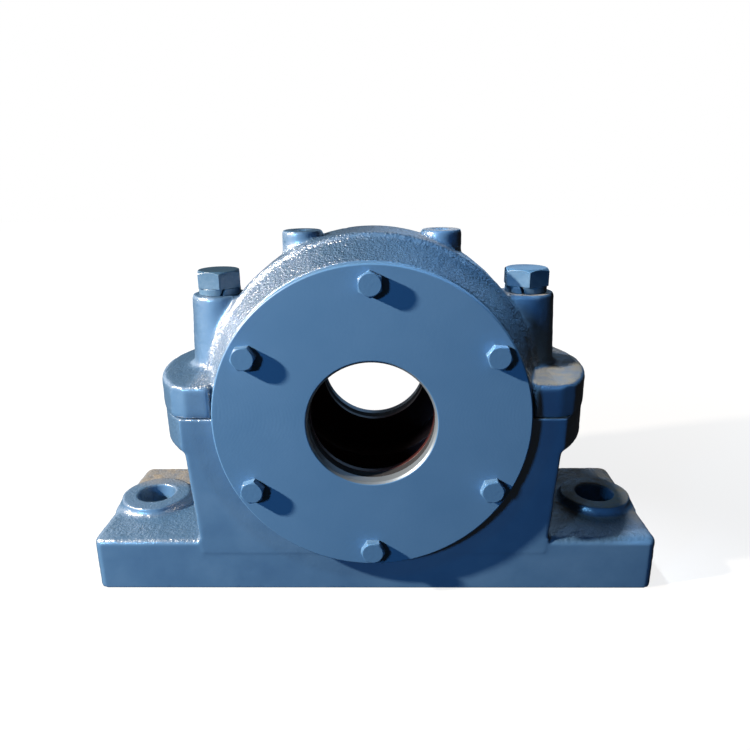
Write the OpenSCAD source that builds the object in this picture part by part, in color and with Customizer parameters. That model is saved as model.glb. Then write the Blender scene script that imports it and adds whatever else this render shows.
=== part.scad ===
// Split bearing housing on a heavy cast base: a base casting, a cap held down by two hexagon bolts
// on spring washers, and a through cover with a felt seal on each end. The shaft runs along Y.
// Origin: underside of the base plate, below the middle of the shaft axis. +Z is up.

/* [Base plate] */
// Length of the base plate
base_len = 498; // [475:1:560]
// Width of the base plate, along the shaft
base_w = 143; // [120:1:147]
// Thickness of the base plate
base_t = 49; // [35:1:60]
// Radius of the plate's upright corners
base_corner_r = 7; // [5.5:0.5:15]
// Rounding of the plate's upper edges
base_edge_r = 5; // [1:0.5:5]

/* [Foot pads] */
// Distance of a foundation bolt from the end of the plate
foot_hole_edge = 34.5; // [34.5:0.5:42]
// Hole for a foundation bolt
foot_hole_d = 35; // [20:1:42]
// Diameter of the machined pad round each foundation bolt
pad_d = 65; // [56:1:65]
// Height of the pad above the plate
pad_h = 8; // [4:0.5:12]
// Fillet round the foot of the pad
pad_fillet = 7; // [1:0.5:8]

/* [Pedestal] */
// Height of the shaft axis above the foundation
shaft_h = 163; // [155:1:200]
// Width of the housing between its two cover seats
housing_w = 148; // [148:1:180]
// Width of the pedestal under the ears
pedestal_top_w = 318; // [308:1:326]
// Width of the pedestal at its foot
pedestal_foot_w = 305; // [290:1:310]
// How far the pedestal runs down over the side of the plate
pedestal_lap = 13; // [5:1:25]
// Rounding of the pedestal's upright edges
pedestal_edge_r = 3; // [1:0.5:6]

/* [Ears] */
// Length over both ears
ear_span = 379; // [370:1:400]
// Height of the cap's ears above the split
cap_ear_t = 28.5; // [24:0.5:40]
// Height of the base's ears below the split, down to their sloped underside
base_ear_t = 28; // [24:1:50]
// Radius that rounds the end of an ear in plan
ear_end_r = 112; // [90:1:130]
// How far the corner between the end and the side of a cap's ear is cut back
ear_corner_cut = 8; // [4:0.5:16]
// How far the base's ears end inside the cap's ears
base_ear_inset = 1; // [0.5:0.5:4]
// Depth of the slope under the base's ears
ear_slope = 38; // [30:1:39]
// Rounding of the ears' upper edges
ear_edge_r = 4; // [1:0.5:6]
// How far the cap's ears stand back from the housing's faces
cap_ear_inset = 1.5; // [0.5:0.5:6]
// Width of the slot between an ear and the machined collar
slot_w = 2.5; // [1:0.5:4]
// Depth of that slot from the housing's face
slot_depth = 9; // [4:1:14]

/* [Cap] */
// Diameter of the collar at the cover seat
collar_d = 262; // [260:1:266]
// Diameter of the collar where it meets the belt
collar_root_d = 286; // [270:1:290]
// Diameter of the raised middle belt
belt_d = 296; // [292:1:306]
// Width of the belt
belt_w = 62; // [50:1:80]
// Rounding of the belt's shoulders
belt_shoulder_r = 5; // [1:0.5:8]

/* [Cap bolts] */
// Distance between the two cap bolts
cap_bolt_spacing = 271; // [266:1:276]
// Thread of the cap bolts
cap_bolt_d = 24; // [20:1:27]
// Length of the cap bolts under the head
cap_bolt_len = 160; // [140:5:170]
// Height of the bolt columns above the split
column_h = 92.5; // [85:0.5:105]
// Diameter of a column at its top
column_top_d = 49; // [46:1:54]
// Diameter of a column at its foot
column_foot_d = 55; // [54:1:60]
// Fillet round the foot of a column
column_fillet = 6; // [1:0.5:8]

/* [Ports] */
// Distance between the two port bosses on the cap
port_spacing = 120; // [100:1:140]
// Diameter of a port boss
port_boss_d = 35; // [28:1:40]
// Height of the boss tops above the shaft axis
port_h = 147; // [144:0.5:158]
// Thread of the port plugs
port_d = 13; // [10:0.5:16]
// Length of a port plug
port_plug_len = 12; // [8:0.5:16]

/* [Bearing seat] */
// Bore of the bearing seat
seat_d = 180; // [170:1:186]
// Width of the bearing that the housing takes
bearing_w = 46; // [34:1:60]
// Room for the bearing on each side
bearing_play = 2; // [0:0.5:8]

/* [End covers] */
// Diameter of the cover flanges
cover_d = 260; // [254:1:262]
// Thickness of the cover flanges
cover_t = 11; // [9:0.5:16]
// Shaft opening in the covers
cover_bore_d = 104; // [80:1:110]
// Chamfer at the mouth of the shaft opening
mouth_chamfer = 2; // [0.5:0.5:4]
// Chamfer on the rim of the flange
rim_chamfer = 1; // [0.5:0.5:3]
// Width of the outer land of the shaft opening
outer_land_w = 11.5; // [9:0.5:14]
// Width of the felt groove
groove_w = 9.5; // [6:0.5:12]
// Width of the inner land
inner_land_w = 6; // [4:0.5:10]
// Depth of the felt groove
groove_depth = 8; // [4:0.5:10]
// Wall of the ring that holds the bearing
spigot_wall = 12; // [8:1:14]
// Thickness of the gasket under each cover
gasket_t = 1; // [0.5:0.5:2]

/* [Cover bolts] */
// Pitch circle of the cover bolts
cover_pcd = 230; // [222:1:232]
// Number of bolts in each cover
cover_bolts = 6; // [4:2:8]
// Thread of the cover bolts
cover_bolt_d = 12; // [8:1:14]
// Length of the cover bolts under the head
cover_bolt_len = 30; // [26:1:40]

/* [Dowels] */
// Diameter of the dowels in the split face
dowel_d = 12; // [8:1:16]
// Length of a dowel
dowel_len = 36; // [24:1:40]
// Distance of each dowel from the line between the cap bolts
dowel_offset = 46; // [34:1:50]

/* [Fits] */
// Play of a bolt in its clearance hole, on the radius
bolt_play = 0.75; // [0.5:0.05:1.5]
// Play of a thread in its tapped hole, on the radius
thread_play = 0.1; // [0.05:0.05:0.3]
// Depth left below a bolt, dowel or plug in a blind hole
blind_rest = 3; // [1:0.5:6]
// Play of the cover spigots in the seat, on the radius
spigot_play = 0.1; // [0.05:0.05:0.4]
// Play of the felt ring in its groove
felt_play = 0.2; // [0.1:0.05:0.5]
// How far the felt ring lies back from the shaft opening
felt_relief = 0.4; // [0.2:0.1:1]
// Play of the dowels in their holes, on the radius
dowel_play = 0.05; // [0.02:0.01:0.2]

/* [Hidden] */
$fn = 96;

paint = "steelblue";
// Overlap of joined shapes, and how far a cut runs past the face that it opens
hair = 0.01;
past = 1;
half_w = housing_w / 2;
seat_face = half_w + gasket_t;
cover_face = seat_face + cover_t;
seat_r = seat_d / 2;
cover_r = cover_d / 2;
bore_r = cover_bore_d / 2;
groove_r = bore_r + groove_depth;
hub_end = cover_face - outer_land_w - groove_w - inner_land_w;
spigot_r = seat_r - spigot_play;
ring_end = bearing_w / 2 + bearing_play;
foot_spacing = base_len - 2 * foot_hole_edge;
pad_top = base_t + pad_h;
pedestal_top = shaft_h - base_ear_t;
pedestal_foot = base_t - pedestal_lap;
ear_end_x = ear_span / 2 - ear_end_r;
column_x = cap_bolt_spacing / 2;
column_top = shaft_h + column_h;
washer_t = cap_bolt_d / 4;
washer_play = 0.25;
washer_id = cap_bolt_d + 2 * washer_play;
washer_od = washer_id + 2 * washer_t;
washer_split = 2;
cap_bolt_seat = column_top + washer_t;
port_top = shaft_h + port_h;
port_edge_r = 2;
port_passage_d = port_d / 2;
port_sink = 0.5;
port_plug_end = port_top - port_sink - port_plug_len;
port_key_share = 0.46;
port_key = port_key_share * port_d;
port_key_depth = port_plug_len / 2;
pedestal_lean = (pedestal_top_w - pedestal_foot_w) / 2 / (pedestal_top - pedestal_foot);
column_chamfer = 1.5;
head_crown = 0.95;
gasket_inset = 0.5;
cover_tap_end = cover_face - cover_bolt_len - blind_rest;
cap_tap_end = cap_bolt_seat - cap_bolt_len - blind_rest;
// How each bolt head happened to stop when it was tightened
cap_bolt_turns = [-77, -93];
cover_bolt_turns = [2, -24, -11, 28, -20, 22];
washer_split_at = 250;
washer_split_lean = 20;
far = 2 * (base_len + shaft_h);

function hex_across_flats(d) = 1.5 * d;
function hex_head_h(d) = 0.625 * d;

// Places a shape along the shaft axis: its own +Z points out of the front face
module facing_front() {
    translate([0, 0, shaft_h]) rotate([90, 0, 0]) children();
}

// The same on the rear face
module facing_rear() {
    mirror([0, 1, 0]) facing_front() children();
}

// Repeats a shape at each end, mirrored
module both_ends() {
    children();
    mirror([1, 0, 0]) children();
}

// Places a shape at each cover bolt, with +Z out of the cover, and numbers the bolts in $bolt
module at_cover_bolts() {
    for ($bolt = [0 : cover_bolts - 1]) {
        rotate([0, 0, 90 + $bolt * 360 / cover_bolts]) translate([cover_pcd / 2, 0, 0]) children();
    }
}

// Places a shape on each dowel's axis at the split
module at_dowels() {
    for (side = [-1, 1]) translate([side * column_x, side * dowel_offset, shaft_h]) children();
}

// Half section of a block's edge, rounded at the top, measured out from the corner's axis
module rounded_edge(radius, low, high, edge_r) {
    translate([0, low]) square([radius, high - low - edge_r]);
    translate([0, low]) square([radius - edge_r, high - low]);
    translate([radius - edge_r, high - edge_r]) intersection() {
        circle(edge_r);
        square(edge_r);
    }
}

// Full section of a block from the half section of its edge
module full_section(half, low, high) {
    translate([half, 0]) children();
    mirror([1, 0]) translate([half, 0]) children();
    translate([-half, low]) square([2 * half, high - low]);
}

// Block with round corners in plan, its edge shaped by the given half section
module block(length, width, corner_r, low, high) {
    half_l = length / 2 - corner_r;
    half_d = width / 2 - corner_r;
    for (x = [-half_l, half_l], y = [-half_d, half_d]) {
        translate([x, y, 0]) rotate_extrude() children();
    }
    rotate([90, 0, 0]) linear_extrude(2 * half_d, center = true)
        full_section(half_l, low, high) children();
    rotate([90, 0, 90]) linear_extrude(2 * half_l, center = true)
        full_section(half_d, low, high) children();
}

// Half section of a fillet between an upright cylinder and the flat under it
module foot_fillet(radius, fillet) {
    difference() {
        translate([radius - hair, 0]) square(fillet + hair);
        translate([radius + fillet, fillet]) circle(fillet);
    }
}

// Hexagon bolt: head above the seat at z = 0, shank below it
module hex_bolt(d, length, turn) {
    across = hex_across_flats(d);
    corner_r = across / 2 / cos(30);
    head_h = hex_head_h(d);
    crown_r = head_crown * across / 2;
    skirt_r = corner_r + past;
    tip = d / 10;
    intersection() {
        rotate([0, 0, turn]) cylinder(r = corner_r, h = head_h, $fn = 6);
        rotate_extrude() polygon([
            [0, 0], [skirt_r, 0], [skirt_r, head_h - (skirt_r - crown_r) * tan(30)],
            [crown_r, head_h], [0, head_h]
        ]);
    }
    rotate_extrude() polygon([
        [0, head_h / 2], [d / 2, head_h / 2], [d / 2, tip - length], [d / 2 - tip, -length], [0, -length]
    ]);
}

// Tapped holes for one cover, cut into the housing's face
module cover_taps() {
    at_cover_bolts() translate([0, 0, cover_tap_end]) {
        cylinder(d = cover_bolt_d + 2 * thread_play, h = half_w - cover_tap_end + hair);
    }
}

// What both castings share: the seat bore, the cover taps and the dowel holes
module housing_bores() {
    facing_front() cylinder(r = seat_r, h = 2 * far, center = true);
    facing_front() cover_taps();
    facing_rear() cover_taps();
    at_dowels() cylinder(d = dowel_d + 2 * dowel_play, h = dowel_len + 2 * blind_rest, center = true);
}

// Machined pad round a foundation bolt, trimmed flush with the end of the plate
module foot_pad() {
    root = base_edge_r + past;
    intersection() {
        translate([foot_spacing / 2, 0, base_t]) rotate_extrude() {
            translate([0, -root]) square([pad_d / 2, pad_h + root]);
            translate([0, -root]) square([pad_d / 2 + pad_fillet, root]);
            foot_fillet(pad_d / 2, pad_fillet);
        }
        translate([0, -base_w / 2, 0]) cube([base_len / 2, base_w, pad_top + past]);
    }
}

// Front view of the pedestal, taken in from its sloped sides and drawn past both its ends
module pedestal_profile(inset) {
    over = pedestal_edge_r;
    top_x = pedestal_top_w / 2 + over * pedestal_lean - inset;
    foot_x = pedestal_foot_w / 2 - over * pedestal_lean - inset;
    polygon([
        [-top_x, pedestal_top + over], [top_x, pedestal_top + over],
        [foot_x, pedestal_foot - over], [-foot_x, pedestal_foot - over]
    ]);
}

// Pedestal with leaning sides and rounded upright edges
module pedestal() {
    r = pedestal_edge_r;
    tilt = atan(pedestal_lean);
    inset = r / cos(tilt);
    rise = pedestal_top - pedestal_foot;
    intersection() {
        union() {
            rotate([90, 0, 0]) linear_extrude(housing_w - 2 * r, center = true) pedestal_profile(0);
            rotate([90, 0, 0]) linear_extrude(housing_w, center = true) pedestal_profile(inset);
            both_ends() for (y = [r - half_w, half_w - r]) {
                translate([(pedestal_top_w + pedestal_foot_w) / 4 - inset, y, pedestal_foot + rise / 2])
                    rotate([0, tilt, 0]) cylinder(r = r, h = rise / cos(tilt) + 2 * r, center = true);
            }
        }
        translate([-far / 2, -far / 2, pedestal_foot]) cube([far, far, rise]);
    }
}

// Pair of ears: round ends that have the given half section, with a slab between them
module ears(half, low, high) {
    intersection() {
        union() {
            both_ends() translate([ear_end_x, 0, 0]) rotate_extrude() children();
            translate([-ear_end_x, -half - past, low])
                cube([2 * ear_end_x, 2 * (half + past), high - low]);
        }
        translate([-far / 2, -half, low - past]) cube([far, 2 * half, high - low + 2 * past]);
    }
}

// Ears of the base, sloped in underneath and flush with the housing's faces
module base_ears() {
    end_r = ear_end_r - base_ear_inset;
    low = -base_ear_t - ear_slope;
    ears(half_w, low, 0) polygon([
        [0, 0], [end_r, 0], [end_r, -base_ear_t], [end_r - ear_slope, low], [0, low]
    ]);
}

// Plan of the cap's ears with the corners at their ends cut off
module cap_ear_plan(half) {
    lean = (90 - asin(half / ear_end_r)) / 2;
    cut_x = ear_end_x + sqrt(pow(ear_end_r, 2) - pow(half, 2)) - ear_corner_cut;
    side_x = cut_x - past / tan(lean);
    end_x = ear_span / 2 + past;
    end_y = half - (end_x - cut_x) * tan(lean);
    polygon([
        [-side_x, -half - past], [side_x, -half - past], [end_x, -end_y], [end_x, end_y],
        [side_x, half + past], [-side_x, half + past], [-end_x, end_y], [-end_x, -end_y]
    ]);
}

// Ears of the cap, rounded along their upper edges
module cap_ears() {
    half = half_w - cap_ear_inset;
    intersection() {
        ears(half + past, 0, cap_ear_t) rounded_edge(ear_end_r, 0, cap_ear_t, ear_edge_r);
        rotate([90, 0, 90]) linear_extrude(far, center = true)
            full_section(half / 2, 0, cap_ear_t) rounded_edge(half / 2, 0, cap_ear_t, ear_edge_r);
        translate([0, 0, -past]) linear_extrude(cap_ear_t + 2 * past) cap_ear_plan(half);
    }
}

module housing_base() {
    color(paint) difference() {
        union() {
            block(base_len, base_w, base_corner_r, 0, base_t)
                rounded_edge(base_corner_r, 0, base_t, base_edge_r);
            both_ends() foot_pad();
            pedestal();
            translate([0, 0, shaft_h]) base_ears();
        }
        housing_bores();
        both_ends() {
            translate([foot_spacing / 2, 0, -past]) cylinder(d = foot_hole_d, h = pad_top + 2 * past);
            translate([column_x, 0, cap_tap_end])
                cylinder(d = cap_bolt_d + 2 * thread_play, h = shaft_h - cap_tap_end + past);
        }
    }
}

// Tapered collars and the raised belt, turned about the shaft axis
module cap_profile() {
    s = belt_shoulder_r;
    polygon([
        [0, -half_w], [collar_d / 2, -half_w], [collar_root_d / 2, -belt_w / 2],
        [collar_root_d / 2, belt_w / 2], [collar_d / 2, half_w], [0, half_w]
    ]);
    translate([0, -belt_w / 2]) square([belt_d / 2 - s, belt_w]);
    translate([0, s - belt_w / 2]) square([belt_d / 2, belt_w - 2 * s]);
    for (z = [s - belt_w / 2, belt_w / 2 - s]) translate([belt_d / 2 - s, z]) circle(s);
}

// Column that carries a cap bolt, with a fillet on the ear
module bolt_column() {
    foot_r = column_foot_d / 2;
    top_r = column_top_d / 2;
    translate([column_x, 0, shaft_h]) rotate_extrude() {
        polygon([
            [0, 0], [foot_r, 0], [foot_r, cap_ear_t], [top_r, column_h - column_chamfer],
            [top_r - column_chamfer, column_h], [0, column_h]
        ]);
        translate([0, cap_ear_t]) foot_fillet(foot_r, column_fillet);
    }
}

// Boss on the belt for a grease or sensor port
module port_boss() {
    low = shaft_h + seat_r;
    translate([port_spacing / 2, 0, 0]) rotate_extrude()
        rounded_edge(port_boss_d / 2, low, port_top, port_edge_r);
}

// Threaded mouth of a port and the passage to the bearing
module port_hole() {
    translate([port_spacing / 2, 0, 0]) {
        translate([0, 0, shaft_h]) cylinder(d = port_passage_d, h = port_h + past);
        translate([0, 0, port_plug_end - blind_rest])
            cylinder(d = port_d + 2 * thread_play, h = port_plug_len + blind_rest + port_sink + past);
    }
}

// Slot that parts an ear from the machined collar
module collar_slot() {
    for (y = [-half_w - past, half_w - slot_depth]) translate([collar_d / 2, y, shaft_h - past])
        cube([slot_w, slot_depth + past, cap_ear_t + 2 * past]);
}

module housing_cap() {
    color(paint) difference() {
        union() {
            intersection() {
                facing_front() rotate_extrude() cap_profile();
                translate([-far / 2, -far / 2, shaft_h]) cube(far);
            }
            translate([0, 0, shaft_h]) cap_ears();
            both_ends() {
                bolt_column();
                port_boss();
            }
        }
        housing_bores();
        both_ends() {
            translate([column_x, 0, shaft_h - past])
                cylinder(d = cap_bolt_d + 2 * bolt_play, h = column_h + 2 * past);
            port_hole();
            collar_slot();
        }
    }
}

// Through cover: flange, mouth with its two lands and felt groove, and the ring that holds the bearing
module end_cover() {
    color(paint) difference() {
        rotate_extrude() polygon([
            [bore_r + mouth_chamfer, cover_face], [cover_r - rim_chamfer, cover_face],
            [cover_r, cover_face - rim_chamfer], [cover_r, seat_face], [spigot_r, seat_face],
            [spigot_r, ring_end], [spigot_r - spigot_wall, ring_end], [spigot_r - spigot_wall, hub_end],
            [bore_r, hub_end], [bore_r, hub_end + inner_land_w], [groove_r, hub_end + inner_land_w],
            [groove_r, cover_face - outer_land_w], [bore_r, cover_face - outer_land_w],
            [bore_r, cover_face - mouth_chamfer]
        ]);
        at_cover_bolts() translate([0, 0, seat_face - past])
            cylinder(d = cover_bolt_d + 2 * bolt_play, h = cover_t + 2 * past);
    }
}

module cover_gasket() {
    color("dimgray") translate([0, 0, half_w]) difference() {
        cylinder(r = cover_r - rim_chamfer, h = gasket_t);
        translate([0, 0, -past]) cylinder(r = seat_r + gasket_inset, h = gasket_t + 2 * past);
        at_cover_bolts() translate([0, 0, -past])
            cylinder(d = cover_bolt_d + 2 * bolt_play, h = gasket_t + 2 * past);
    }
}

module felt_ring() {
    color("black") translate([0, 0, hub_end + inner_land_w + felt_play / 2]) difference() {
        cylinder(r = groove_r - felt_play, h = groove_w - felt_play);
        translate([0, 0, -past]) cylinder(r = bore_r + felt_relief, h = groove_w + 2 * past);
    }
}

module cover_bolt_set() {
    color(paint) at_cover_bolts() translate([0, 0, cover_face])
        hex_bolt(cover_bolt_d, cover_bolt_len, cover_bolt_turns[$bolt % len(cover_bolt_turns)]);
}

module front_cover() {
    facing_front() end_cover();
}

module rear_cover() {
    facing_rear() end_cover();
}

module front_gasket() {
    facing_front() cover_gasket();
}

module rear_gasket() {
    facing_rear() cover_gasket();
}

module front_seal_ring() {
    facing_front() felt_ring();
}

module rear_seal_ring() {
    facing_rear() felt_ring();
}

module front_cover_bolts() {
    facing_front() cover_bolt_set();
}

module rear_cover_bolts() {
    facing_rear() cover_bolt_set();
}

module cap_bolts() {
    color(paint) for (i = [0, 1]) translate([(2 * i - 1) * column_x, 0, cap_bolt_seat])
        hex_bolt(cap_bolt_d, cap_bolt_len, cap_bolt_turns[i]);
}

// Split spring washers under the cap bolts
module cap_lock_washers() {
    color(paint) both_ends() translate([column_x, 0, column_top]) difference() {
        cylinder(d = washer_od, h = washer_t);
        translate([0, 0, -past]) cylinder(d = washer_id, h = washer_t + 2 * past);
        rotate([0, 0, washer_split_at]) translate([0, 0, washer_t / 2]) rotate([washer_split_lean, 0, 0])
            translate([0, -washer_split / 2, -washer_t]) cube([washer_od, washer_split, 2 * washer_t]);
    }
}

module dowel_pins() {
    color("silver") at_dowels() cylinder(d = dowel_d, h = dowel_len, center = true);
}

// Flush plugs with a hexagon socket, one in each port
module port_plugs() {
    color(paint) both_ends() translate([port_spacing / 2, 0, port_plug_end]) difference() {
        cylinder(d = port_d, h = port_plug_len);
        translate([0, 0, port_plug_len - port_key_depth])
            cylinder(r = port_key / 2 / cos(30), h = port_key_depth + past, $fn = 6);
    }
}

housing_base();
housing_cap();
front_cover();
rear_cover();
front_gasket();
rear_gasket();
front_seal_ring();
rear_seal_ring();
front_cover_bolts();
rear_cover_bolts();
cap_bolts();
cap_lock_washers();
dowel_pins();
port_plugs();
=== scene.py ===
"""Looks of a heavy split bearing housing: its finishes, its dressed pieces and a plain studio round them."""

import logging
import math
from dataclasses import dataclass
from enum import Enum

import bmesh
import bpy
import numpy as np
from mathutils import Matrix, Vector, noise


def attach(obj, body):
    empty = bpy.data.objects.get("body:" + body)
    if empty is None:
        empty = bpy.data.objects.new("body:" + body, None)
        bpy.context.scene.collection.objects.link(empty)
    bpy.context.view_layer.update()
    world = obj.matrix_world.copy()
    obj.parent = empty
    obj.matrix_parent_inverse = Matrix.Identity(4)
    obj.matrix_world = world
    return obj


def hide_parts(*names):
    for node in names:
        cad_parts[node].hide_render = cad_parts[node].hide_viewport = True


LOG = logging.getLogger("bearing_housing")
BODY = "root"
MM = 0.001
SHAFT_HEIGHT = 163 * MM
HOUSING_HALF_WIDTH = 74 * MM
COVER_FACE = 86 * MM
SEAT_RADIUS = 90 * MM
COLLAR_RADIUS = 131 * MM
BELT_RADIUS = 148 * MM
PLATE_TOP = 49 * MM
PAD_TOP = 57 * MM
PAD_X = 214.5 * MM
PAD_REACH = 40 * MM
FOOT_HOLE_RADIUS = 17.5 * MM
COLUMN_TOP = 255.5 * MM
PORT_TOP = 310 * MM

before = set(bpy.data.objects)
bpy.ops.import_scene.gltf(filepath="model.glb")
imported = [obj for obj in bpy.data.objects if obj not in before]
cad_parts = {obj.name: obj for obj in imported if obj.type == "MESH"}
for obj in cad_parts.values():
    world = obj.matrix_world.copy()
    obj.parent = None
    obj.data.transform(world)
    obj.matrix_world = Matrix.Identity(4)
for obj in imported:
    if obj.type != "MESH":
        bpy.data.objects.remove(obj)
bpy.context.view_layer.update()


class End(Enum):
    """Which end of the shaft a cover closes."""

    FRONT = "front"
    REAR = "rear"


def linear(hex_colour: str) -> tuple[float, float, float, float]:
    """Turns an sRGB hex colour into linear light.

    Args:
        hex_colour: Six hex digits after a hash sign.

    Returns:
        Red, green, blue and full alpha in linear light.
    """
    parts = [int(hex_colour[i:i + 2], 16) / 255 for i in (1, 3, 5)]
    red, green, blue = (c / 12.92 if c <= 0.04045 else ((c + 0.055) / 1.055) ** 2.4 for c in parts)
    return red, green, blue, 1.0


def add_node(tree: bpy.types.NodeTree, kind: str, inputs: dict | None = None,
             **settings: object) -> bpy.types.Node:
    """Adds one node to a tree.

    Args:
        tree: The tree that takes the node.
        kind: The node's Blender type.
        inputs: For each input, by name or number, the socket that feeds it or its fixed value.
        settings: The node's own properties.

    Returns:
        The new node.
    """
    node = tree.nodes.new(kind)
    for name, value in settings.items():
        setattr(node, name, value)
    for key, value in (inputs or {}).items():
        if isinstance(value, bpy.types.NodeSocket):
            tree.links.new(value, node.inputs[key])
        else:
            node.inputs[key].default_value = value
    return node


def per_size(size_mm: float) -> float:
    """Gives the texture scale, per metre, whose pattern repeats about every size_mm."""
    return 1 / (size_mm * MM)


@dataclass(frozen=True)
class Finish:
    """What a surface is made of and how it was finished."""

    name: str

    def material(self) -> bpy.types.Material:
        """Builds the finish as a material.

        Returns:
            A new material with one Principled shader, filled in by paint().
        """
        made = bpy.data.materials.new(self.name)
        made.use_nodes = True
        tree = made.node_tree
        tree.nodes.clear()
        shader = add_node(tree, "ShaderNodeBsdfPrincipled")
        add_node(tree, "ShaderNodeOutputMaterial", {"Surface": shader.outputs["BSDF"]})
        self.paint(tree, shader)
        return made

    def paint(self, tree: bpy.types.NodeTree, shader: bpy.types.Node) -> None:
        """Links colour, roughness and relief to the shader.

        Args:
            tree: The material's node tree.
            shader: Its Principled shader.
        """
        raise NotImplementedError


def from_axis(tree: bpy.types.NodeTree, place: bpy.types.NodeSocket) -> bpy.types.NodeSocket:
    """Measures how far each point lies from the shaft's axis.

    Args:
        tree: The material's node tree.
        place: The point in object coordinates.

    Returns:
        The distance in metres.
    """
    offset = add_node(
        tree, "ShaderNodeVectorMath", {0: place, 1: (0, 0, SHAFT_HEIGHT)}, operation="SUBTRACT").outputs[0]
    across = add_node(
        tree, "ShaderNodeVectorMath", {0: offset, 1: (1, 0, 1)}, operation="MULTIPLY").outputs[0]
    return add_node(tree, "ShaderNodeVectorMath", {0: across}, operation="LENGTH").outputs["Value"]


@dataclass(frozen=True)
class CastEnamel(Finish):
    """Alkyd enamel sprayed on a sand casting: satin blue over a pebbled skin that glints where it turns."""

    colour: str = "#4e769c"
    pale: str = "#577ea3"
    deep: str = "#476e95"
    # Painted shade: the darker colour given to the raw cast skin
    skin_shade: str = "#3a5a78"
    dust: str = "#8a7d66"
    iron: str = "#6d6a66"
    grain_mm: float = 2.2
    swell_mm: float = 8.0
    cloud_mm: float = 70.0
    dust_mm: float = 16.0
    relief_mm: float = 1.1
    swell_share: float = 0.4
    fettled_skin: float = 0.05
    skin_shade_share: float = 0.92
    collar_gain: float = 2.8
    clean_x_mm: float = -40.0
    dusty_x_mm: float = 150.0
    high_z_mm: float = 150.0
    wiped_to_y_mm: float = -70.0
    unwiped_from_y_mm: float = -20.0
    behind_from_y_mm: float = 10.0
    behind_full_y_mm: float = 35.0
    behind_share: float = 0.8
    dusty_roughness: float = 0.9
    thin_coat: float = 0.55
    dusty_coat: float = 0.1
    coat_roughness: float = 0.25
    coat_ior: float = 2.4

    def paint(self, tree: bpy.types.NodeTree, shader: bpy.types.Node) -> None:
        """Links colour, roughness and relief to the shader.

        Args:
            tree: The material's node tree.
            shader: Its Principled shader.
        """
        place = add_node(tree, "ShaderNodeTexCoord").outputs["Object"]
        normal = add_node(tree, "ShaderNodeNewGeometry").outputs["Normal"]
        facing = add_node(tree, "ShaderNodeSeparateXYZ", {0: normal})
        reach = from_axis(tree, place)
        # Faces across the shaft were fettled and filled before painting, so their grain is weak
        across = add_node(tree, "ShaderNodeMath", {0: facing.outputs["Y"]}, operation="ABSOLUTE").outputs[0]
        skin = add_node(tree, "ShaderNodeMapRange", {
            "Value": across, "From Min": 0.6, "From Max": 0.985,
            "To Min": 1.0, "To Max": self.fettled_skin}).outputs[0]
        # The collar and belt were left rougher than the columns and the foot
        rough = add_node(tree, "ShaderNodeMapRange", {
            "Value": reach, "From Min": BELT_RADIUS + 1 * MM, "From Max": BELT_RADIUS + 7 * MM,
            "To Min": self.collar_gain, "To Max": 1.0}).outputs[0]
        cloud = add_node(tree, "ShaderNodeTexNoise", {
            "Vector": place, "Scale": per_size(self.cloud_mm),
            "Detail": 4.0, "Roughness": 0.6}).outputs["Fac"]
        lie = self.dust_share(tree, place, facing.outputs["Z"], reach)
        enamel = self.enamel(tree, cloud, skin)
        dusty = add_node(tree, "ShaderNodeMix", {
            "Factor": lie, 6: enamel, 7: linear(self.dust)}, data_type="RGBA").outputs[2]
        # The bearing seat inside is bare machined iron
        bare = add_node(
            tree, "ShaderNodeMath", {0: reach, 1: SEAT_RADIUS + 0.4 * MM}, operation="LESS_THAN").outputs[0]
        colour = add_node(tree, "ShaderNodeMix", {
            "Factor": bare, 6: dusty, 7: linear(self.iron)}, data_type="RGBA").outputs[2]
        sheen = add_node(tree, "ShaderNodeMapRange", {
            "Value": cloud, "From Min": 0.3, "From Max": 0.7, "To Min": 0.48, "To Max": 0.6}).outputs[0]
        matt = add_node(tree, "ShaderNodeMix", {0: lie, 2: sheen, 3: self.dusty_roughness}).outputs[0]
        gloss = add_node(tree, "ShaderNodeMapRange", {
            "Value": lie, "To Min": 1.0, "To Max": self.dusty_coat}).outputs[0]
        # The enamel ran thick over the rough collar, so it glares most there
        thick = add_node(tree, "ShaderNodeMapRange", {
            "Value": rough, "From Min": 1.0, "From Max": self.collar_gain,
            "To Min": self.thin_coat, "To Max": 1.0}).outputs[0]
        gloss = add_node(tree, "ShaderNodeMath", {0: gloss, 1: thick}, operation="MULTIPLY").outputs[0]
        relief = self.relief(tree, place, skin, rough)
        tree.links.new(colour, shader.inputs["Base Color"])
        tree.links.new(matt, shader.inputs["Roughness"])
        tree.links.new(bare, shader.inputs["Metallic"])
        tree.links.new(relief, shader.inputs["Normal"])
        tree.links.new(relief, shader.inputs["Coat Normal"])
        tree.links.new(gloss, shader.inputs["Coat Weight"])
        shader.inputs["Coat Roughness"].default_value = self.coat_roughness
        shader.inputs["Coat IOR"].default_value = self.coat_ior

    def enamel(self, tree: bpy.types.NodeTree, cloud: bpy.types.NodeSocket,
               skin: bpy.types.NodeSocket) -> bpy.types.NodeSocket:
        """Mixes the enamel's colour, with painted shade on the raw skin but without dust.

        Args:
            tree: The material's node tree.
            cloud: Slow change over the casting.
            skin: How raw the cast skin is.

        Returns:
            The colour.
        """
        tone = add_node(tree, "ShaderNodeValToRGB", {"Fac": cloud})
        tone.color_ramp.elements[0].position = 0.32
        tone.color_ramp.elements[0].color = linear(self.deep)
        tone.color_ramp.elements[1].position = 0.68
        tone.color_ramp.elements[1].color = linear(self.pale)
        tone.color_ramp.elements.new(0.5).color = linear(self.colour)
        # Painted shade: the raw skin, every face not across the shaft, is painted darker than the fettled
        # faces, which tones down the light on the tops, columns and collars
        raw = add_node(tree, "ShaderNodeMapRange", {
            "Value": skin, "From Min": self.fettled_skin, "From Max": 1.0,
            "To Min": 0.0, "To Max": self.skin_shade_share}).outputs[0]
        return add_node(tree, "ShaderNodeMix", {
            "Factor": raw, 6: tone.outputs["Color"], 7: linear(self.skin_shade)}, data_type="RGBA").outputs[2]

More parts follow.
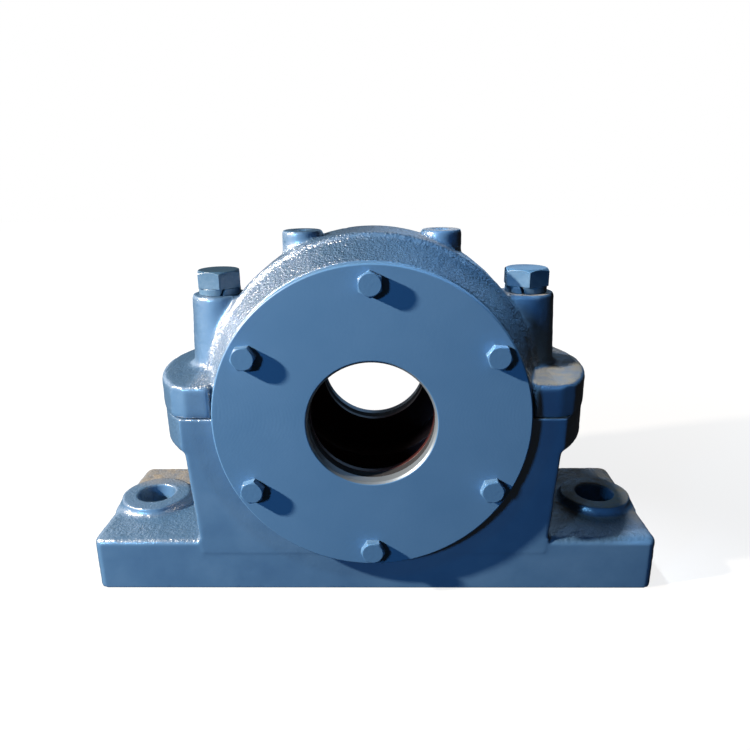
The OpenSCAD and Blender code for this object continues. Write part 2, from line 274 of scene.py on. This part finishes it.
    def relief(self, tree: bpy.types.NodeTree, place: bpy.types.NodeSocket, skin: bpy.types.NodeSocket,
               rough: bpy.types.NodeSocket) -> bpy.types.NodeSocket:
        """Makes the relief of the sand's grain.

        Args:
            tree: The material's node tree.
            place: The point in object coordinates.
            skin: How raw the cast skin is.
            rough: How much stronger the relief is near the collar.

        Returns:
            The normal.
        """
        grain = add_node(tree, "ShaderNodeTexNoise", {
            "Vector": place, "Scale": per_size(self.grain_mm),
            "Detail": 3.0, "Roughness": 0.6}).outputs["Fac"]
        swell = add_node(tree, "ShaderNodeTexNoise", {
            "Vector": place, "Scale": per_size(self.swell_mm),
            "Detail": 2.0, "Roughness": 0.55}).outputs["Fac"]
        height = add_node(tree, "ShaderNodeMix", {0: self.swell_share, 2: grain, 3: swell}).outputs[0]
        height = add_node(tree, "ShaderNodeMath", {0: height, 1: skin}, operation="MULTIPLY").outputs[0]
        height = add_node(tree, "ShaderNodeMath", {0: height, 1: rough}, operation="MULTIPLY").outputs[0]
        return add_node(tree, "ShaderNodeBump", {
            "Height": height, "Strength": 1.0, "Distance": self.relief_mm * MM}).outputs["Normal"]

    def dust_share(self, tree: bpy.types.NodeTree, place: bpy.types.NodeSocket, upward: bpy.types.NodeSocket,
                   reach: bpy.types.NodeSocket) -> bpy.types.NodeSocket:
        """Says how much workshop dust lies at each point.

        Args:
            tree: The material's node tree.
            place: The point in object coordinates.
            upward: How far the surface faces up.
            reach: Distance from the shaft's axis.

        Returns:
            The dust's share of the colour.
        """
        parts = add_node(tree, "ShaderNodeSeparateXYZ", {0: place})
        # Dust lies on what faces up, and more of it towards one end
        settle = add_node(tree, "ShaderNodeMapRange", {
            "Value": upward, "From Min": 0.8, "From Max": 0.96, "To Min": 0.0, "To Max": 1.0}).outputs[0]
        drift = add_node(tree, "ShaderNodeMapRange", {
            "Value": parts.outputs["X"], "From Min": self.clean_x_mm * MM, "From Max": self.dusty_x_mm * MM,
            "To Min": 0.0, "To Max": 1.0}).outputs[0]
        patch = add_node(tree, "ShaderNodeTexNoise", {
            "Vector": place, "Scale": per_size(self.dust_mm),
            "Detail": 5.0, "Roughness": 0.65}).outputs["Fac"]
        patch = add_node(tree, "ShaderNodeMapRange", {
            "Value": patch, "From Min": 0.32, "From Max": 0.64, "To Min": 0.4, "To Max": 0.95}).outputs[0]
        lie = add_node(tree, "ShaderNodeMath", {0: settle, 1: patch}, operation="MULTIPLY").outputs[0]
        # The feet were wiped along the front, and behind the housing the dust reaches the other foot too
        high = add_node(tree, "ShaderNodeMath", {
            0: parts.outputs["Z"], 1: self.high_z_mm * MM}, operation="GREATER_THAN").outputs[0]
        wiped = add_node(tree, "ShaderNodeMapRange", {
            "Value": parts.outputs["Y"], "From Min": self.wiped_to_y_mm * MM,
            "From Max": self.unwiped_from_y_mm * MM, "To Min": 0.0, "To Max": 1.0}).outputs[0]
        wiped = add_node(tree, "ShaderNodeMath", {0: wiped, 1: high}, operation="MAXIMUM").outputs[0]
        drift = add_node(tree, "ShaderNodeMath", {0: drift, 1: wiped}, operation="MULTIPLY").outputs[0]
        behind = add_node(tree, "ShaderNodeMapRange", {
            "Value": parts.outputs["Y"], "From Min": self.behind_from_y_mm * MM,
            "From Max": self.behind_full_y_mm * MM, "To Min": 0.0, "To Max": self.behind_share}).outputs[0]
        behind = add_node(tree, "ShaderNodeMath", {0: behind, 1: high}, operation="SUBTRACT").outputs[0]
        drift = add_node(tree, "ShaderNodeMath", {0: drift, 1: behind}, operation="MAXIMUM").outputs[0]
        lie = add_node(tree, "ShaderNodeMath", {0: lie, 1: drift}, operation="MULTIPLY").outputs[0]
        # None of it stays on the collars, which lie inside the belt and above the columns
        clear = add_node(tree, "ShaderNodeMath", {
            0: reach, 1: BELT_RADIUS - 1.5 * MM}, operation="GREATER_THAN").outputs[0]
        below = add_node(tree, "ShaderNodeMath", {
            0: parts.outputs["Z"], 1: COLUMN_TOP}, operation="LESS_THAN").outputs[0]
        clear = add_node(tree, "ShaderNodeMath", {0: clear, 1: below}, operation="MAXIMUM").outputs[0]
        return add_node(tree, "ShaderNodeMath", {0: lie, 1: clear}, operation="MULTIPLY").outputs[0]


@dataclass(frozen=True)
class TurnedEnamel(Finish):
    """Enamel sprayed over a face turned on a lathe: smooth and even, with the shaft opening left bare."""

    colour: str = "#4e769c"
    pale: str = "#527aa0"
    steel: str = "#858f98"
    primer: str = "#3a1512"
    peel_mm: float = 2.6
    cloud_mm: float = 55.0
    turning_mm: float = 1.1
    turning_share: float = 0.18
    relief_mm: float = 0.05
    bare_to_mm: float = 53.6
    bare_depth_mm: float = 13.0
    bare_roughness: float = 0.45
    bare_metallic: float = 0.55

    def paint(self, tree: bpy.types.NodeTree, shader: bpy.types.Node) -> None:
        """Links colour, roughness and relief to the shader.

        Args:
            tree: The material's node tree.
            shader: Its Principled shader.
        """
        place = add_node(tree, "ShaderNodeTexCoord").outputs["Object"]
        along = add_node(tree, "ShaderNodeSeparateXYZ", {0: place}).outputs["Y"]
        reach = from_axis(tree, place)
        depth = add_node(tree, "ShaderNodeMath", {0: along}, operation="ABSOLUTE").outputs[0]
        cloud = add_node(tree, "ShaderNodeTexNoise", {
            "Vector": place, "Scale": per_size(self.cloud_mm),
            "Detail": 4.0, "Roughness": 0.55}).outputs["Fac"]
        tone = add_node(tree, "ShaderNodeMapRange", {
            "Value": cloud, "From Min": 0.3, "From Max": 0.7, "To Min": 0.0, "To Max": 1.0}).outputs[0]
        enamel = add_node(tree, "ShaderNodeMix", {
            "Factor": tone, 6: linear(self.colour), 7: linear(self.pale)}, data_type="RGBA").outputs[2]
        # The front land of the opening is bare, and what lies deeper has only primer
        bare_end = COVER_FACE - self.bare_depth_mm * MM
        inside = add_node(
            tree, "ShaderNodeMath", {0: reach, 1: self.bare_to_mm * MM}, operation="LESS_THAN").outputs[0]
        near = add_node(tree, "ShaderNodeMath", {0: depth, 1: bare_end}, operation="GREATER_THAN").outputs[0]
        bare = add_node(tree, "ShaderNodeMath", {0: inside, 1: near}, operation="MULTIPLY").outputs[0]
        hidden = add_node(tree, "ShaderNodeMath", {0: depth, 1: bare_end}, operation="LESS_THAN").outputs[0]
        primed = add_node(tree, "ShaderNodeMix", {
            "Factor": hidden, 6: enamel, 7: linear(self.primer)}, data_type="RGBA").outputs[2]
        colour = add_node(tree, "ShaderNodeMix", {
            "Factor": bare, 6: primed, 7: linear(self.steel)}, data_type="RGBA").outputs[2]
        gloss = add_node(tree, "ShaderNodeMapRange", {
            "Value": cloud, "From Min": 0.3, "From Max": 0.7, "To Min": 0.4, "To Max": 0.5}).outputs[0]
        gloss = add_node(tree, "ShaderNodeMix", {0: bare, 2: gloss, 3: self.bare_roughness}).outputs[0]
        # Fine tool marks scatter the light, so the bare land looks paler than polished metal
        metal = add_node(
            tree, "ShaderNodeMath", {0: bare, 1: self.bare_metallic}, operation="MULTIPLY").outputs[0]
        tree.links.new(colour, shader.inputs["Base Color"])
        tree.links.new(gloss, shader.inputs["Roughness"])
        tree.links.new(metal, shader.inputs["Metallic"])
        tree.links.new(self.relief(tree, place, reach, depth), shader.inputs["Normal"])

    def relief(self, tree: bpy.types.NodeTree, place: bpy.types.NodeSocket, reach: bpy.types.NodeSocket,
               depth: bpy.types.NodeSocket) -> bpy.types.NodeSocket:
        """Makes the relief of the paint's skin over the tool marks.

        Args:
            tree: The material's node tree.
            place: The point in object coordinates.
            reach: Distance from the shaft's axis.
            depth: Distance from the housing's middle, along the shaft.

        Returns:
            The normal.
        """
        peel = add_node(tree, "ShaderNodeTexNoise", {
            "Vector": place, "Scale": per_size(self.peel_mm),
            "Detail": 1.5, "Roughness": 0.5}).outputs["Fac"]
        # Tool marks lie in rings on the face and along the opening; drawn coarser than real ones to show
        along = add_node(tree, "ShaderNodeMath", {0: reach, 1: depth}, operation="ADD").outputs[0]
        ring = add_node(tree, "ShaderNodeMath", {
            0: along, 1: 2 * math.pi * per_size(self.turning_mm)}, operation="MULTIPLY").outputs[0]
        ring = add_node(tree, "ShaderNodeMath", {0: ring}, operation="SINE").outputs[0]
        height = add_node(tree, "ShaderNodeMath", {
            0: ring, 1: self.turning_share, 2: peel}, operation="MULTIPLY_ADD").outputs[0]
        return add_node(tree, "ShaderNodeBump", {
            "Height": height, "Strength": 1.0, "Distance": self.relief_mm * MM}).outputs["Normal"]


@dataclass(frozen=True)
class BoltEnamel(Finish):
    """The same enamel sprayed over forged bolts: paler on the corners, where the thin paint is worn and where
    a painted highlight stands for the edges' glints; the tops can also take painted shade.
    """

    colour: str = "#4e769c"
    pale: str = "#8fa9c0"
    top_shade: str = "#1c2a36"
    top_shade_share: float = 0.0
    scale_mm: float = 3.0
    relief_mm: float = 0.12
    coat_weight: float = 0.35
    coat_roughness: float = 0.2

    def paint(self, tree: bpy.types.NodeTree, shader: bpy.types.Node) -> None:
        """Links colour, roughness and relief to the shader.

        Args:
            tree: The material's node tree.
            shader: Its Principled shader.
        """
        place = add_node(tree, "ShaderNodeTexCoord").outputs["Object"]
        skin = add_node(tree, "ShaderNodeTexNoise", {
            "Vector": place, "Scale": per_size(self.scale_mm),
            "Detail": 3.0, "Roughness": 0.6}).outputs["Fac"]
        shape = add_node(tree, "ShaderNodeNewGeometry")
        # Paler on sharp corners: worn thin paint, and also a painted highlight standing for the edges' glints
        worn_edge_glint = add_node(tree, "ShaderNodeMapRange", {
            "Value": shape.outputs["Pointiness"], "From Min": 0.52, "From Max": 0.58,
            "To Min": 0.0, "To Max": 1.0}).outputs[0]
        worn_edge_glint = add_node(tree, "ShaderNodeMath", {0: worn_edge_glint, 1: skin}, operation="MULTIPLY").outputs[0]
        colour = add_node(tree, "ShaderNodeMix", {
            "Factor": worn_edge_glint, 6: linear(self.colour), 7: linear(self.pale)}, data_type="RGBA").outputs[2]
        # Painted shade darkens the tops that face up
        upward = add_node(tree, "ShaderNodeSeparateXYZ", {0: shape.outputs["Normal"]}).outputs["Z"]
        lie = add_node(tree, "ShaderNodeMapRange", {
            "Value": upward, "From Min": 0.8, "From Max": 0.98,
            "To Min": 0.0, "To Max": self.top_shade_share}).outputs[0]
        colour = add_node(tree, "ShaderNodeMix", {
            "Factor": lie, 6: colour, 7: linear(self.top_shade)}, data_type="RGBA").outputs[2]
        relief = add_node(tree, "ShaderNodeBump", {
            "Height": skin, "Strength": 1.0, "Distance": self.relief_mm * MM}).outputs["Normal"]
        gloss = add_node(tree, "ShaderNodeMapRange", {
            "Value": skin, "From Min": 0.3, "From Max": 0.7, "To Min": 0.34, "To Max": 0.46}).outputs[0]
        tree.links.new(colour, shader.inputs["Base Color"])
        tree.links.new(gloss, shader.inputs["Roughness"])
        tree.links.new(relief, shader.inputs["Normal"])
        shader.inputs["Coat Weight"].default_value = self.coat_weight
        shader.inputs["Coat Roughness"].default_value = self.coat_roughness


@dataclass(frozen=True)
class FlatStock(Finish):
    """Plain stock with a fine grain, such as pressed fibre, wool felt or ground steel."""

    colour: str = "#4a4a46"
    pale: str = "#5c5a54"
    grain_mm: float = 0.8
    relief_mm: float = 0.1
    roughness: float = 0.9
    metallic: float = 0.0

    def paint(self, tree: bpy.types.NodeTree, shader: bpy.types.Node) -> None:
        """Links colour, roughness and relief to the shader.

        Args:
            tree: The material's node tree.
            shader: Its Principled shader.
        """
        place = add_node(tree, "ShaderNodeTexCoord").outputs["Object"]
        grain = add_node(tree, "ShaderNodeTexNoise", {
            "Vector": place, "Scale": per_size(self.grain_mm),
            "Detail": 3.0, "Roughness": 0.65}).outputs["Fac"]
        colour = add_node(tree, "ShaderNodeMix", {
            "Factor": grain, 6: linear(self.colour), 7: linear(self.pale)}, data_type="RGBA").outputs[2]
        relief = add_node(tree, "ShaderNodeBump", {
            "Height": grain, "Strength": 1.0, "Distance": self.relief_mm * MM}).outputs["Normal"]
        tree.links.new(colour, shader.inputs["Base Color"])
        tree.links.new(relief, shader.inputs["Normal"])
        shader.inputs["Roughness"].default_value = self.roughness
        shader.inputs["Metallic"].default_value = self.metallic


def dress(node: str, material: bpy.types.Material) -> None:
    """Gives a CAD node one material.

    Args:
        node: The node's name.
        material: Its finish.
    """
    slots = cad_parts[node].data.materials
    slots.clear()
    slots.append(material)
    LOG.info("dressed %s in %s", node, material.name)


@dataclass
class EasedPart:
    """A turned or forged piece after its CAD node, with its sharp edges rounded by paint and handling."""

    node: str
    slot: str
    edge_mm: float
    merge_mm: float = 0.002
    sharp_deg: float = 22.0
    segments: int = 3
    flat_deg: float = 0.5

    def build(self, material: bpy.types.Material) -> bpy.types.Object:
        """Makes the piece and hides its CAD node.

        Args:
            material: The piece's finish.

        Returns:
            The new piece.
        """
        mesh = bpy.data.meshes.new(self.node + "_eased")
        solid = self.rounded()
        solid.to_mesh(mesh)
        solid.free()
        mesh.polygons.foreach_set("use_smooth", [True] * len(mesh.polygons))
        mesh.materials.append(material)
        piece = bpy.data.objects.new(mesh.name, mesh)
        bpy.context.scene.collection.objects.link(piece)
        normals = piece.modifiers.new("even faces", "WEIGHTED_NORMAL")
        normals.mode = "FACE_AREA_WITH_ANGLE"
        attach(piece, BODY)
        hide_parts(self.node)
        LOG.info("%s: %d faces", piece.name, len(mesh.polygons))
        return piece

    def rounded(self) -> bmesh.types.BMesh:
        """Bevels the sharp edges of a merged copy of the node.

        Returns:
            The new bmesh, to be freed by the caller.
        """
        solid = bmesh.new()
        solid.from_mesh(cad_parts[self.node].data)
        bmesh.ops.remove_doubles(solid, verts=solid.verts, dist=self.merge_mm * MM)
        bmesh.ops.dissolve_limit(
            solid, angle_limit=math.radians(self.flat_deg), verts=solid.verts, edges=solid.edges)
        limit = math.radians(self.sharp_deg)
        sharp = [e for e in solid.edges if e.is_manifold and e.calc_face_angle() > limit]
        bmesh.ops.bevel(
            solid, geom=sharp, offset=self.edge_mm * MM, offset_type="OFFSET", affect="EDGES",
            segments=self.segments, profile=0.5, material=-1, clamp_overlap=True)
        return solid


@dataclass
class ThroughCover:
    """A flanged cover with its gasket, felt seal and bolts."""

    end: End
    edge_mm: float = 0.45
    bolt_edge_mm: float = 0.5
    bolt_merge_mm: float = 0.3

    def build(self, enamel: bpy.types.Material, bolt: bpy.types.Material, fibre: bpy.types.Material,
              felt: bpy.types.Material) -> None:
        """Makes and dresses the cover's pieces.

        Args:
            enamel: Finish of the cover.
            bolt: Finish of its bolts.
            fibre: Finish of its gasket.
            felt: Finish of its seal ring.
        """
        side = self.end.value
        EasedPart(side + "_cover", "enamelled_cover", self.edge_mm).build(enamel)
        EasedPart(
            side + "_cover_bolts", "enamelled_fastener", self.bolt_edge_mm, self.bolt_merge_mm).build(bolt)
        dress(side + "_gasket", fibre)
        dress(side + "_seal_ring", felt)


@dataclass
class CapFastening:
    """What holds the cap to the base: bolts on spring washers, and the dowels between the halves."""

    bolt_edge_mm: float = 0.9
    washer_edge_mm: float = 0.7

    def build(self, bolt: bpy.types.Material, steel: bpy.types.Material) -> None:
        """Makes and dresses the pieces.

        Args:
            bolt: Finish of the bolts and washers.
            steel: Finish of the dowels.
        """
        EasedPart("cap_bolts", "enamelled_fastener", self.bolt_edge_mm).build(bolt)
        EasedPart("cap_lock_washers", "enamelled_fastener", self.washer_edge_mm).build(bolt)
        dress("dowel_pins", steel)


@dataclass
class PortClosure:
    """The plugs that close the two ports on the cap."""

    edge_mm: float = 0.35

    def build(self, bolt: bpy.types.Material) -> None:
        """Makes the plugs in the finish of the bolts."""
        EasedPart("port_plugs", "enamelled_fastener", self.edge_mm).build(bolt)


@dataclass
class SandCasting:
    """A casting after its CAD solid: inner corners get the mould's fillets and the skin its unevenness."""

    node: str
    slot: str
    voxel_mm: float
    faces: int
    even_rounds: int
    fillet_rounds: int
    edge_rounds: int
    fillet_from_mm: float = 0.012
    wave_mm: float = 13.0
    wave_depth_mm: float = 0.3
    ripple_mm: float = 4.0
    ripple_depth_mm: float = 0.2
    front_share: float = 0.15
    step_mm: float = 2.5
    filled_mm: float = 2.2
    filled_from_y_mm: float = 64.0
    merge_mm: float = 0.001
    even_pull: float = 0.5
    fillet_pull: float = 0.6
    normals_every: int = 10
    fettled_from: float = 0.8
    fettled_over: float = 0.18

    def build(self, material: bpy.types.Material) -> bpy.types.Object:
        """Makes the casting and hides its CAD node.

        Args:
            material: The casting's finish.

        Returns:
            The new piece.
        """
        mesh = self.skin()
        self.ease(mesh)
        self.thin(mesh)
        mesh.polygons.foreach_set("use_smooth", [True] * len(mesh.polygons))
        mesh.materials.clear()
        mesh.materials.append(material)
        piece = bpy.data.objects.new(self.node + "_cast", mesh)
        bpy.context.scene.collection.objects.link(piece)
        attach(piece, BODY)
        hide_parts(self.node)
        LOG.info("%s: %d faces", piece.name, len(mesh.polygons))
        return piece

    def skin(self) -> bpy.types.Mesh:
        """Wraps an even mesh over the CAD solid.

        Returns:
            The new mesh.
        """
        solid = bmesh.new()
        solid.from_mesh(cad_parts[self.node].data)
        bmesh.ops.remove_doubles(solid, verts=solid.verts, dist=self.merge_mm * MM)
        mesh = bpy.data.meshes.new(self.node + "_cast")
        solid.to_mesh(mesh)
        solid.free()
        return self.shaped(mesh, "REMESH", mode="VOXEL", voxel_size=self.voxel_mm * MM)

    def thin(self, mesh: bpy.types.Mesh) -> None:
        """Thins the mesh to the wanted number of triangles, in place.

        Args:
            mesh: The casting's mesh.
        """
        triangles = sum(len(p.vertices) - 2 for p in mesh.polygons)
        if triangles > self.faces:
            thinned = self.shaped(mesh, "DECIMATE", ratio=self.faces / triangles)
            work = bmesh.new()
            work.from_mesh(thinned)
            work.to_mesh(mesh)
            work.free()
            bpy.data.meshes.remove(thinned)

    @staticmethod
    def shaped(mesh: bpy.types.Mesh, kind: str, **settings: object) -> bpy.types.Mesh:
        """Runs one modifier over a mesh.

        Args:
            mesh: The mesh to work on.
            kind: The modifier's Blender type.
            settings: Its properties.

        Returns:
            The result as a new mesh.
        """
        holder = bpy.data.objects.new("work", mesh)
        bpy.context.scene.collection.objects.link(holder)
        modifier = holder.modifiers.new("work", kind)
        for name, value in settings.items():
            setattr(modifier, name, value)
        result = holder.evaluated_get(bpy.context.evaluated_depsgraph_get())
        made = bpy.data.meshes.new_from_object(result)
        bpy.data.objects.remove(holder)
        return made

    def machined(self, at: np.ndarray) -> np.ndarray:
        """Says which points lie on faces that a cutter went over.

        Args:
            at: Points, one a row.

        Returns:
            True for each machined point.
        """
        x, y, z = at.T
        reach = np.hypot(x, z - SHAFT_HEIGHT)
        foot = np.hypot(np.abs(x) - PAD_X, y)
        near = 0.7 * MM
        pad = np.abs(x) > PAD_X - PAD_REACH
        return (
            (reach < SEAT_RADIUS + near) | (np.abs(z - SHAFT_HEIGHT) < near) | (z < near)
            | ((np.abs(y) > HOUSING_HALF_WIDTH - near) & (reach < COLLAR_RADIUS))
            | (foot < FOOT_HOLE_RADIUS + near) | ((np.abs(z - PAD_TOP) < near) & pad)
            | (np.abs(z - COLUMN_TOP) < near) | (z > PORT_TOP - near)
        )

    def ease(self, mesh: bpy.types.Mesh) -> None:
        """Evens the mesh, fills its inner corners with fillets and gives the cast skin its waves.

        Args:
            mesh: The casting's mesh, changed in place.
        """
        count = len(mesh.vertices)
        at = np.empty(count * 3)
        mesh.vertices.foreach_get("co", at)
        at = at.reshape(-1, 3)
        ends = np.empty(len(mesh.edges) * 2, dtype=np.int64)
        mesh.edges.foreach_get("vertices", ends)
        a, b = ends.reshape(-1, 2).T
        degree = np.maximum(np.bincount(ends, minlength=count), 1)[:, None]
        cut = self.machined(at)
        normal = np.empty((count, 3))
        for turn in range(self.even_rounds + self.fillet_rounds + self.edge_rounds):
            sums = [np.bincount(a, at[b, i], count) + np.bincount(b, at[a, i], count) for i in range(3)]
            pull = np.stack(sums, 1) / degree - at
            if turn < self.even_rounds:
                at = at + self.even_pull * pull
                continue
            if turn >= self.even_rounds + self.fillet_rounds:
                at = at + self.even_pull * pull * np.where(cut, 0, 1)[:, None]
                continue
            if (turn - self.even_rounds) % self.normals_every == 0:
                self.read_normals(mesh, at, normal)
            hollow = np.clip((pull * normal).sum(1) / (self.fillet_from_mm * MM), 0, 1)
            at = at + self.fillet_pull * pull * np.where(cut, 0, hollow)[:, None]
        self.fill_step(at)
        self.read_normals(mesh, at, normal)
        rise = np.array([
            self.wave_depth_mm * noise.noise(Vector(p) / (self.wave_mm * MM))
            + self.ripple_depth_mm * noise.noise(Vector(p) / (self.ripple_mm * MM)) for p in at])
        # Faces across the shaft were fettled, so little of the skin's unevenness is left there
        fettled = np.clip((np.abs(normal[:, 1]) - self.fettled_from) / self.fettled_over, 0, 1)
        rise = np.where(cut, 0, rise) * (1 - (1 - self.front_share) * fettled) * MM
        mesh.vertices.foreach_set("co", (at + normal * rise[:, None]).ravel())
        mesh.update()

    def fill_step(self, at: np.ndarray) -> None:
        """Evens the small step between the pedestal's face and the foot plate's edge, as filler did.

        Args:
            at: Points, one a row, moved in place.
        """
        start = self.filled_from_y_mm * MM
        edge = HOUSING_HALF_WIDTH - self.step_mm * MM
        before = [0, start, edge, HOUSING_HALF_WIDTH, 1]
        after = [0, start, edge + self.filled_mm * MM, HOUSING_HALF_WIDTH, 1]
        plate = at[:, 2] < PLATE_TOP + 2 * MM
        at[plate, 1] = np.sign(at[plate, 1]) * np.interp(np.abs(at[plate, 1]), before, after)

    @staticmethod
    def read_normals(mesh: bpy.types.Mesh, at: np.ndarray, normal: np.ndarray) -> None:
        """Moves the mesh's points and reads its normals there.

        Args:
            mesh: The mesh to move.
            at: The points, one a row.
            normal: Takes the normals, one a row.
        """
        mesh.vertices.foreach_set("co", at.ravel())
        mesh.update()
        mesh.vertex_normals.foreach_get("vector", normal.ravel())


@dataclass(frozen=True)
class Lamp:
    """A round lamp: its aim, the way from there to it, lengths in metres, watts and beam angle in degrees."""

    name: str
    towards: tuple[float, float, float]
    distance: float
    size: float
    power: float
    colour: str
    aim: tuple[float, float, float] = (0.0, 0.0, SHAFT_HEIGHT)
    spread: float = 180.0
    glossy: bool = True

    def hang(self) -> None:
        """Puts the lamp in the scene, looking at its aim."""
        data = bpy.data.lights.new(self.name, "AREA")
        data.shape = "DISK"
        data.size = self.size
        data.energy = self.power
        data.color = linear(self.colour)[:3]
        data.spread = math.radians(self.spread)
        lamp = bpy.data.objects.new(self.name, data)
        lamp.visible_glossy = self.glossy
        out = Vector(self.towards).normalized()
        turn = out.to_track_quat("Z", "Y").to_matrix().to_4x4()
        lamp.matrix_world = Matrix.Translation(Vector(self.aim) + out * self.distance) @ turn
        bpy.context.scene.collection.objects.link(lamp)


@dataclass
class Studio:
    """Plain pale floor, soft lights and the camera."""

    floor_half: float = 4.0
    sky_light: float = 0.02
    lens: float = 31.54
    sensor: float = 36.0
    eye: tuple[float, float, float] = (0.0114, -0.5782, 0.3641)
    pitch: float = 17.865
    yaw: float = -0.963
    roll: float = -0.545

    def build(self) -> None:
        """Sets floor, sky, lights and camera."""
        self.floor()
        self.sky()
        lamps = (
            Lamp("key_lamp", (-0.84, -0.29, 0.47), distance=1.5, size=0.07, power=66.0, colour="#fff0dd"),
            Lamp("second_lamp", (-0.58, -0.74, 0.29), distance=2.2, size=0.3, power=22.0, colour="#7cc4ff"),
            Lamp("front_soft", (-0.15, -0.5, 0.85), distance=1.6, size=0.7, power=0.3, colour="#cfe6ff"),
            Lamp("right_top_soft", (-0.32, 0.03, 0.94), distance=0.8, size=0.08, power=0.2, colour="#e8f2ff",
                 aim=(0.12, -0.06, 0.25), spread=20.0, glossy=False),
            Lamp("rear_left_soft", (-0.75, 0.62, 0.25), distance=1.6, size=0.9, power=4.0, colour="#eef4ff"),
            Lamp("rear_soft", (0.25, 0.92, 0.3), distance=1.6, size=0.9, power=2.2, colour="#a4d0ff"),
        )
        for lamp in lamps:
            lamp.hang()
        self.camera()

    def floor(self) -> None:
        """Lays the floor."""
        mesh = bpy.data.meshes.new("studio_floor")
        grid = bmesh.new()
        bmesh.ops.create_grid(grid, x_segments=1, y_segments=1, size=self.floor_half)
        grid.to_mesh(mesh)
        grid.free()
        floor = bpy.data.objects.new("studio_floor", mesh)
        bpy.context.scene.collection.objects.link(floor)
        pale = bpy.data.materials.new("pale floor")
        pale.use_nodes = True
        tree = pale.node_tree
        tree.nodes.clear()
        place = add_node(tree, "ShaderNodeTexCoord").outputs["Object"]
        away = add_node(tree, "ShaderNodeVectorMath", {0: place}, operation="LENGTH").outputs["Value"]
        glow = add_node(tree, "ShaderNodeMapRange", {
            "Value": away, "From Min": 0.3, "From Max": 1.1, "To Min": 0.84, "To Max": 1.0}).outputs[0]
        shader = add_node(tree, "ShaderNodeBsdfPrincipled", {
            "Base Color": linear("#6c6c6c"), "Roughness": 0.9, "Specular IOR Level": 0.1,
            "Emission Color": linear("#ffffff"), "Emission Strength": glow})
        add_node(tree, "ShaderNodeOutputMaterial", {"Surface": shader.outputs["BSDF"]})
        mesh.materials.append(pale)
        floor.visible_diffuse = False
        floor.visible_glossy = False

    def sky(self) -> None:
        """Makes the backdrop white and its light on the object dim."""
        world = bpy.data.worlds.new("studio")
        bpy.context.scene.world = world
        world.use_nodes = True
        tree = world.node_tree
        tree.nodes.clear()
        seen = add_node(tree, "ShaderNodeLightPath").outputs["Is Camera Ray"]
        strength = add_node(tree, "ShaderNodeMapRange", {
            "Value": seen, "To Min": self.sky_light, "To Max": 1.0}).outputs[0]
        back = add_node(tree, "ShaderNodeBackground", {"Color": linear("#ffffff"), "Strength": strength})
        add_node(tree, "ShaderNodeOutputWorld", {"Surface": back.outputs[0]})
        bpy.context.scene.view_settings.view_transform = "Standard"

    def camera(self) -> None:
        """Stands the camera where the photograph was taken."""
        pitch, yaw, roll = (math.radians(a) for a in (self.pitch, self.yaw, self.roll))
        ahead = Vector((math.sin(yaw) * math.cos(pitch), math.cos(yaw) * math.cos(pitch), -math.sin(pitch)))
        level = Vector((math.cos(yaw), -math.sin(yaw), 0))
        rise = level.cross(ahead)
        right = math.cos(roll) * level + math.sin(roll) * rise
        up = math.cos(roll) * rise - math.sin(roll) * level
        data = bpy.data.cameras.new("photo_camera")
        data.lens = self.lens
        data.sensor_width = self.sensor
        data.sensor_fit = "HORIZONTAL"
        data.clip_start = 0.01
        camera = bpy.data.objects.new("photo_camera", data)
        turn = Matrix((right, up, -ahead)).transposed().to_4x4()
        camera.matrix_world = Matrix.Translation(Vector(self.eye)) @ turn
        bpy.context.scene.collection.objects.link(camera)
        bpy.context.scene.camera = camera


def main() -> None:
    """Builds and dresses the housing, then the studio."""
    logging.basicConfig(level=logging.INFO, format="%(message)s")
    casting = CastEnamel("blue enamel on sand-cast iron").material()
    turned = TurnedEnamel("blue enamel on turned iron").material()
    bolt = BoltEnamel("blue enamel on forged steel").material()
    # The cap bolts take a darker copy of the bolt enamel, with painted shade on their tops
    shaded = BoltEnamel("grimy blue enamel on forged steel", colour="#41637f", top_shade_share=0.45).material()
    fibre = FlatStock("pressed fibre gasket").material()
    felt = FlatStock(
        "grey wool felt", colour="#17171a", pale="#26262a", grain_mm=0.9, relief_mm=0.4).material()
    steel = FlatStock(
        "ground steel", colour="#b9bcbe", pale="#c6c9cb", relief_mm=0.01, roughness=0.3,
        metallic=1.0).material()
    for end in End:
        ThroughCover(end).build(turned, bolt, fibre, felt)
    CapFastening().build(shaded, steel)
    PortClosure().build(bolt)
    SandCasting(
        "housing_base", "enamelled_casting", voxel_mm=1.1, faces=190000,
        even_rounds=3, fillet_rounds=8, edge_rounds=2).build(casting)
    SandCasting(
        "housing_cap", "enamelled_casting", voxel_mm=1.1, faces=190000,
        even_rounds=4, fillet_rounds=16, edge_rounds=10).build(casting)
    Studio().build()


if __name__ == "__main__":
    main()
